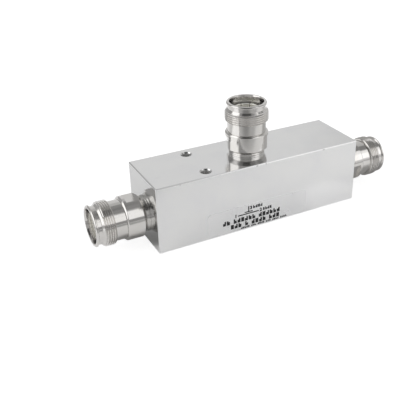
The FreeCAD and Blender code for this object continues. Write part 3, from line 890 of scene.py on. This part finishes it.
# The painted fall of the table's glow as polished metal sees it: its brightness beside the tapper
# and at the drop, where the drop is and how softly it shows, and the brightness past it.
painted_fades_from = 0.02
painted_seen_near = 0.92
painted_seen_far = 0.8
painted_drop_azimuth = -24
painted_drop = 0.084
painted_drop_soft = 0.014
past_painted_drop = 0.52

# The camera sees the table as white. The shares say how much of what is seen takes shadow, by
# polished metal and by the camera, and the rest glows. The tent's light on it has this level.
table_to_camera = 1.12
seen_shadow_share = 0.85
camera_shadow_share = 0.25
tent_level = 0.62

pale_table, tree, shader = new_material("pale_table")
tree.nodes.remove(shader)
place = add_node(tree, "ShaderNodeTexCoord").outputs["Object"]
along = add_node(tree, "ShaderNodeVectorMath", {"operation": "DOT_PRODUCT"}, _0=place,
                 _1=bearing(painted_drop_azimuth)).outputs["Value"]
level = add_node(tree, "ShaderNodeMapRange", Value=along, From_Min=painted_fades_from,
                 From_Max=painted_drop, To_Min=painted_seen_near, To_Max=painted_seen_far)
past = soft_step(tree, along, painted_drop - painted_drop_soft, painted_drop + painted_drop_soft)
level = blend(tree, past, level.outputs["Result"], past_painted_drop)
# Painted patches of light and shade, among them painted shadows under the side ports, are mixed
# into what polished metal sees.
for azimuth, distance, half_width, brightness in painted_table_patches:
    apart = add_node(tree, "ShaderNodeVectorMath", {"operation": "DISTANCE"}, _0=place,
                     _1=bearing(azimuth) * distance)
    fade = soft_step(tree, apart.outputs["Value"], half_width, half_width * patch_core)
    level = blend(tree, fade, level, brightness)
camera_ray = add_node(tree, "ShaderNodeLightPath").outputs["Is Camera Ray"]
shown = blend(tree, camera_ray, level, table_to_camera)
share = blend(tree, camera_ray, seen_shadow_share, camera_shadow_share)
shaded = combine(tree, "MULTIPLY", shown, share)
matt = add_node(tree, "ShaderNodeBsdfDiffuse", Color=combine(tree, "DIVIDE", shaded, tent_level))
# The glow carries the painted light and shade to polished metal, and the even white to the camera.
glow = add_node(tree, "ShaderNodeEmission", Strength=combine(tree, "SUBTRACT", shown, shaded))
both = add_node(tree, "ShaderNodeAddShader", _0=matt.outputs[0], _1=glow.outputs[0])
tree.links.new(both.outputs[0], tree.nodes["Material Output"].inputs["Surface"])
table.data.materials.append(pale_table)


# Round the table is a light tent of even pale cloth, with bright panels at its sides, a darker
# roof and a dark open front. The camera sees the tent as white, and polished metal sees it as it
# is, because that draws the dark and bright bands on the shells.
# Panels and gaps: azimuth, half width, lowest and highest elevation and soft edge in degrees, and
# brightness. A half width of 180 goes right round, and a highest of 90 closes over the top.
tent_parts = [
    (0, 180, 42, 90, 8, 0.62),
    (0, 180, 61, 90, 5, 0.34),
    (0, 180, 78, 90, 6, 0.22),
    (-158, 22, -10, 40, 8, 0.47),
    (105, 32, -10, 38, 10, 0.68),
    (77, 9, 32, 42, 5, 0.34),
    (84, 20, 48, 62, 5, 0.3),
    (64, 12, 14, 40, 3, 0.8),
    (34, 25, 14, 51, 4, 1.22),
    (42, 12, 14, 32, 8, 1.55),
    (-34, 32, -10, 40, 8, 0.48),
    (-29, 38, 42, 78, 8, 0.1),
    (-100, 22, -10, 40, 8, 1.65),
    (-112, 20, 36, 57, 6, 1.6),
    (-146, 7, 27, 37, 5, 0.4),
    (4, 20, 2, 12, 4, 0.36),
]
tent_cloth = 0.8

tent = bpy.data.worlds.new("tent")
bpy.context.scene.world = tent
tent.use_nodes = True
tree = tent.node_tree
tree.nodes.clear()
towards = add_node(tree, "ShaderNodeTexCoord").outputs["Generated"]
flat = add_node(tree, "ShaderNodeVectorMath", {"operation": "MULTIPLY"}, _0=towards, _1=(1, 1, 0))
flat = add_node(tree, "ShaderNodeVectorMath", {"operation": "NORMALIZE"}, _0=flat.outputs[0])
rise = add_node(tree, "ShaderNodeSeparateXYZ", _0=towards).outputs["Z"]


def sine(angle):
    """How far up a direction at an elevation reaches."""
    return math.sin(math.radians(angle))


level = tent_cloth
for azimuth, half_width, lowest, highest, soft, brightness in tent_parts:
    mask = soft_step(tree, rise, sine(lowest - soft), sine(lowest))
    if highest < 90:
        below = soft_step(tree, rise, sine(highest + soft), sine(highest))
        mask = combine(tree, "MULTIPLY", mask, below)
    if half_width < 180:
        across = add_node(tree, "ShaderNodeVectorMath", {"operation": "DOT_PRODUCT"},
                          _0=flat.outputs[0], _1=bearing(azimuth)).outputs["Value"]
        beside = soft_step(tree, across, sine(90 - half_width - soft), sine(90 - half_width))
        mask = combine(tree, "MULTIPLY", mask, beside)
    level = blend(tree, mask, level, brightness)
camera_ray = add_node(tree, "ShaderNodeLightPath").outputs["Is Camera Ray"]
light = add_node(tree, "ShaderNodeBackground", Color=(1, 1, 1, 1),
                 Strength=blend(tree, camera_ray, level, 1))
add_node(tree, "ShaderNodeOutputWorld", Surface=light.outputs[0])


# The camera looks down on the front from the input side, as the photograph does. It isn't rolled,
# and a small shift of its frame sets the tapper where the photograph has it.
camera_place = (-0.13841, -0.24457, 0.15863)
camera_azimuth = -29.378
camera_elevation = 27.419
lens_length = 59.61
frame_shift = (-0.1129, -0.0336)
tilt = math.radians(camera_elevation)
back = bearing(camera_azimuth) * math.cos(tilt)
back.z = math.sin(tilt)
bpy.ops.object.camera_add(location=camera_place)
camera = bpy.context.object
camera.rotation_euler = (-back).to_track_quat("-Z", "Y").to_euler()
camera.name = "camera"
camera.data.lens = lens_length
camera.data.shift_x, camera.data.shift_y = frame_shift
camera.data.clip_start = 0.01
bpy.context.scene.camera = camera
bpy.context.scene.view_settings.view_transform = "Standard"
